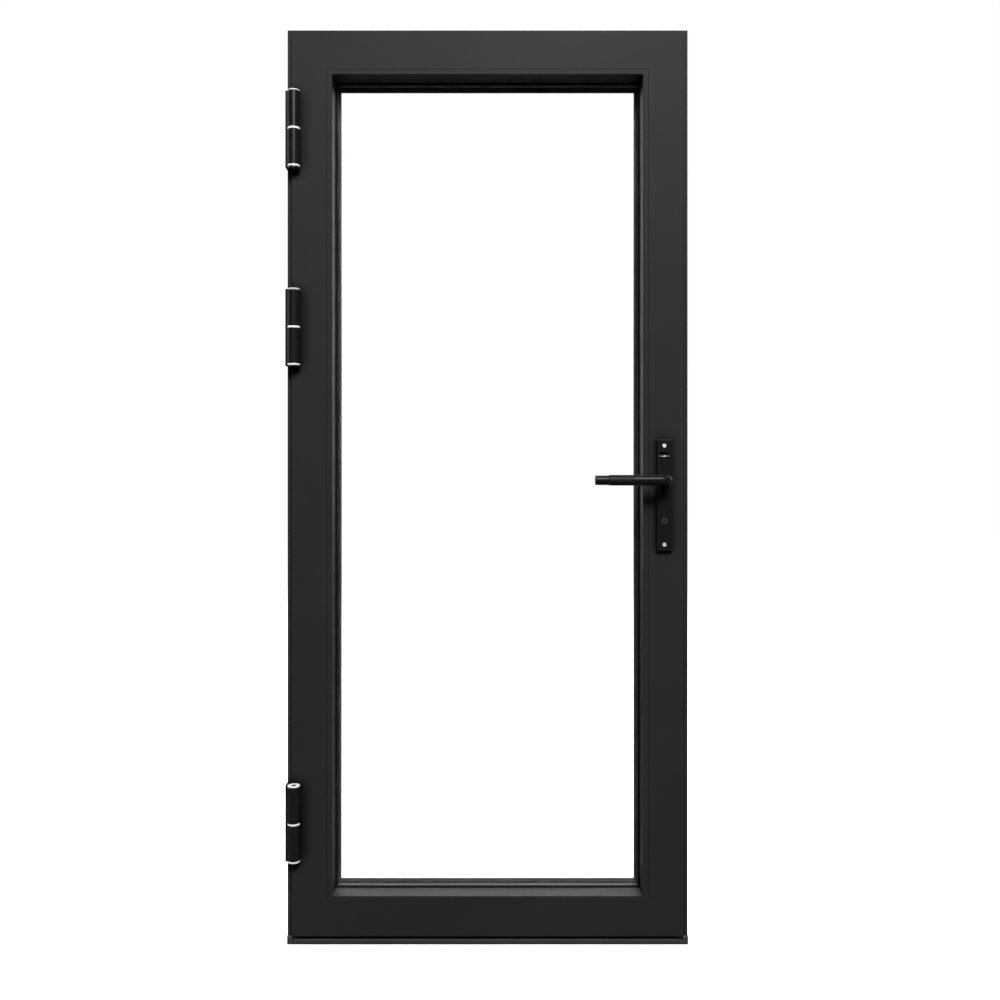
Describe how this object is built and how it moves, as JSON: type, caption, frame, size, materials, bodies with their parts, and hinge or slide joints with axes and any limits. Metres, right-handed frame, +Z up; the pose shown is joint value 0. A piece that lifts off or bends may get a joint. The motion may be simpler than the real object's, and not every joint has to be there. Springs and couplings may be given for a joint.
{
  "type": "french door",
  "caption": "Fully glazed black aluminium door leaf in its outer frame, with barrel hinges, lever handles on narrow plates and a mortice lock.",
  "frame": {"origin": "on the floor, under the middle of the outer frame's width and depth", "axes": "+X to the right and +Z up as seen from the room, +Y away from the room; the hinges are at -X and the leaf opens towards -Y"},
  "size_m": [0.92, 0.2276, 2.1],
  "materials": {
    "frame_coat": "black fine-texture powder coat on aluminium",
    "leaf_coat": "black fine-texture powder coat on aluminium",
    "bead_coat": "black fine-texture powder coat on aluminium",
    "hinge_coat": "satin black",
    "hinge_nylon": "white nylon",
    "hinge_steel": "bright zinc plated",
    "threshold_coat": "black powder coat",
    "end_block": "dark moulded plastic",
    "glass": "clear float glass",
    "spacer": "dark grey spacer bar",
    "gasket": "matt black rubber",
    "packer": "moulded packer",
    "cleat": "mill finish",
    "handle_coat": "satin black",
    "grip": "matt black knurled sleeve",
    "screw": "bright steel",
    "lock_steel": "zinc plated steel",
    "cylinder": "satin nickel"
  },
  "bodies": {
    "frame": {"hinge_jamb": "frame_coat", "lock_jamb": "frame_coat", "frame_head": "frame_coat", "threshold": "threshold_coat", "threshold_end_blocks": "end_block", "frame_corner_cleats": "cleat", "frame_stop_seal": "gasket", "threshold_seal": "gasket", "strike_plate": "lock_steel", "strike_screws": "screw", "hinge_frame_leaf_top": "hinge_coat", "hinge_frame_leaf_middle": "hinge_coat", "hinge_frame_leaf_bottom": "hinge_coat", "hinge_pins": "hinge_steel", "hinge_washers": "hinge_nylon", "hinge_bottom_rings": "hinge_nylon", "hinge_adjusters": "hinge_steel"},
    "leaf": {"hinge_top_caps": "hinge_nylon", "hinge_sash_leaf_top": "hinge_coat", "hinge_sash_leaf_middle": "hinge_coat", "hinge_sash_leaf_bottom": "hinge_coat", "sash_hinge_stile": "leaf_coat", "sash_lock_stile": "leaf_coat", "sash_top_rail": "leaf_coat", "sash_bottom_rail": "leaf_coat", "sash_corner_cleats": "cleat", "sash_seal": "gasket", "bead_left": "bead_coat", "bead_right": "bead_coat", "bead_top": "bead_coat", "bead_bottom": "bead_coat", "inner_pane": "glass", "outer_pane": "glass", "pane_spacer": "spacer", "setting_blocks": "packer", "inner_glazing_gasket": "gasket", "outer_glazing_gasket": "gasket", "inside_backplate": "handle_coat", "outside_backplate": "handle_coat", "backplate_bolts": "screw", "lock_case": "lock_steel", "lock_cover": "lock_steel", "lock_faceplate": "lock_steel", "faceplate_screws": "screw", "lock_cylinder": "cylinder"},
    "handle": {"inside_lever": "handle_coat", "outside_lever": "handle_coat", "inside_grip": "grip", "outside_grip": "grip", "inside_tip": "handle_coat", "outside_tip": "handle_coat", "grub_screws": "screw", "spindle": "lock_steel", "follower": "lock_steel"},
    "latch": {"latch_bolt": "lock_steel"},
    "deadbolt": {"deadbolt": "lock_steel"},
    "snib": {"snib_button": "handle_coat"},
    "key": {"key_plugs": "cylinder", "lock_cam": "lock_steel"}
  },
  "joints": [
    {"name": "leaf_swing", "type": "hinge", "parent": "frame", "child": "leaf", "pos_m": [-0.4405, -0.071, 1.05], "axis": [0, 0, -1], "range_deg": [0, 170]},
    {"name": "lever_turn", "type": "hinge", "parent": "leaf", "child": "handle", "pos_m": [0.403, -0.011, 1.065], "axis": [0, -1, 0], "range_deg": [0, 45], "stiffness_Nm_per_rad": 1.5, "springref_deg": -57.3},
    {"name": "latch_slide", "type": "slide", "parent": "leaf", "child": "latch", "axis": [-1, 0, 0], "range_m": [0, 0.012]},
    {"name": "key_turn", "type": "hinge", "parent": "leaf", "child": "key", "pos_m": [0.403, -0.011, 0.973], "axis": [0, 1, 0], "range_deg": [0, 90]},
    {"name": "deadbolt_slide", "type": "slide", "parent": "leaf", "child": "deadbolt", "axis": [1, 0, 0], "range_m": [0, 0.014]},
    {"name": "snib_slide", "type": "slide", "parent": "leaf", "child": "snib", "axis": [-1, 0, 0], "range_m": [0, 0.012]}
  ],
  "couplings": [
    {"joint": "latch_slide", "follows": "lever_turn", "m_per_rad": 0.015279},
    {"joint": "key_turn", "follows": "deadbolt_slide", "rad_per_m": 112.2}
  ]
}
